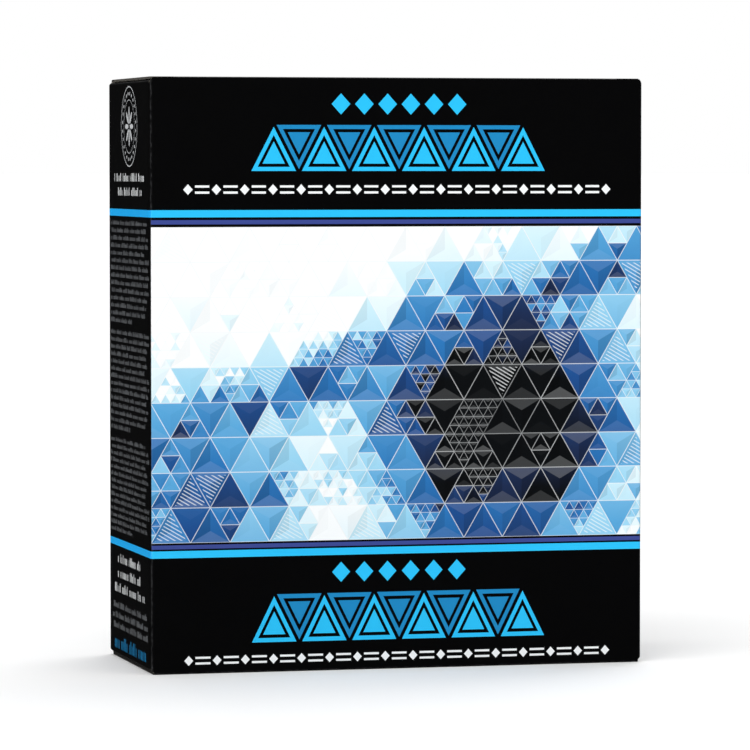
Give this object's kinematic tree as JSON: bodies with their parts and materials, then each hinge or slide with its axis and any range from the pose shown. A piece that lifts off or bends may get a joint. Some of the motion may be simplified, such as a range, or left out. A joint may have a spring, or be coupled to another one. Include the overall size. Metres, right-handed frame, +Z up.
{
  "type": "printed folding carton",
  "caption": "Upright rectangular folding carton of printed paperboard with a hinged tuck-in lid, folding dust flaps and a glued flat base.",
  "frame": {"origin": "Middle of the base, on the face that the carton stands on.", "axes": "+Z up along the carton's height; +X along the width of the front panel, to the right seen from the front; the front panel faces -Y, and the lid's crease is at +Y."},
  "size_m": [0.12, 0.05, 0.14],
  "materials": {
    "printed_board": "satin",
    "bare_board": "matte"
  },
  "bodies": {
    "carton": {"carton_body": "printed_board"},
    "lid": {"lid": "printed_board"},
    "tuck_flap": {"tuck_flap": "printed_board"},
    "left_dust_flap": {"left_dust_flap": "bare_board"},
    "right_dust_flap": {"right_dust_flap": "bare_board"}
  },
  "joints": [
    {"name": "lid_hinge", "type": "hinge", "parent": "carton", "child": "lid", "pos_m": [0, 0.0248, 0.1398], "axis": [-1, 0, 0], "range_deg": [0, 110]},
    {"name": "tuck_fold", "type": "hinge", "parent": "lid", "child": "tuck_flap", "pos_m": [0, -0.0232, 0.1393], "axis": [1, 0, 0], "range_deg": [0, 50]},
    {"name": "left_dust_fold", "type": "hinge", "parent": "carton", "child": "left_dust_flap", "pos_m": [-0.0593, 0, 0.1385], "axis": [0, 1, 0], "range_deg": [0, 85]},
    {"name": "right_dust_fold", "type": "hinge", "parent": "carton", "child": "right_dust_flap", "pos_m": [0.0593, 0, 0.1385], "axis": [0, -1, 0], "range_deg": [0, 85]}
  ],
  "couplings": [
    {"joint": "tuck_fold", "follows": "lid_hinge", "ratio": 0.45}
  ]
}
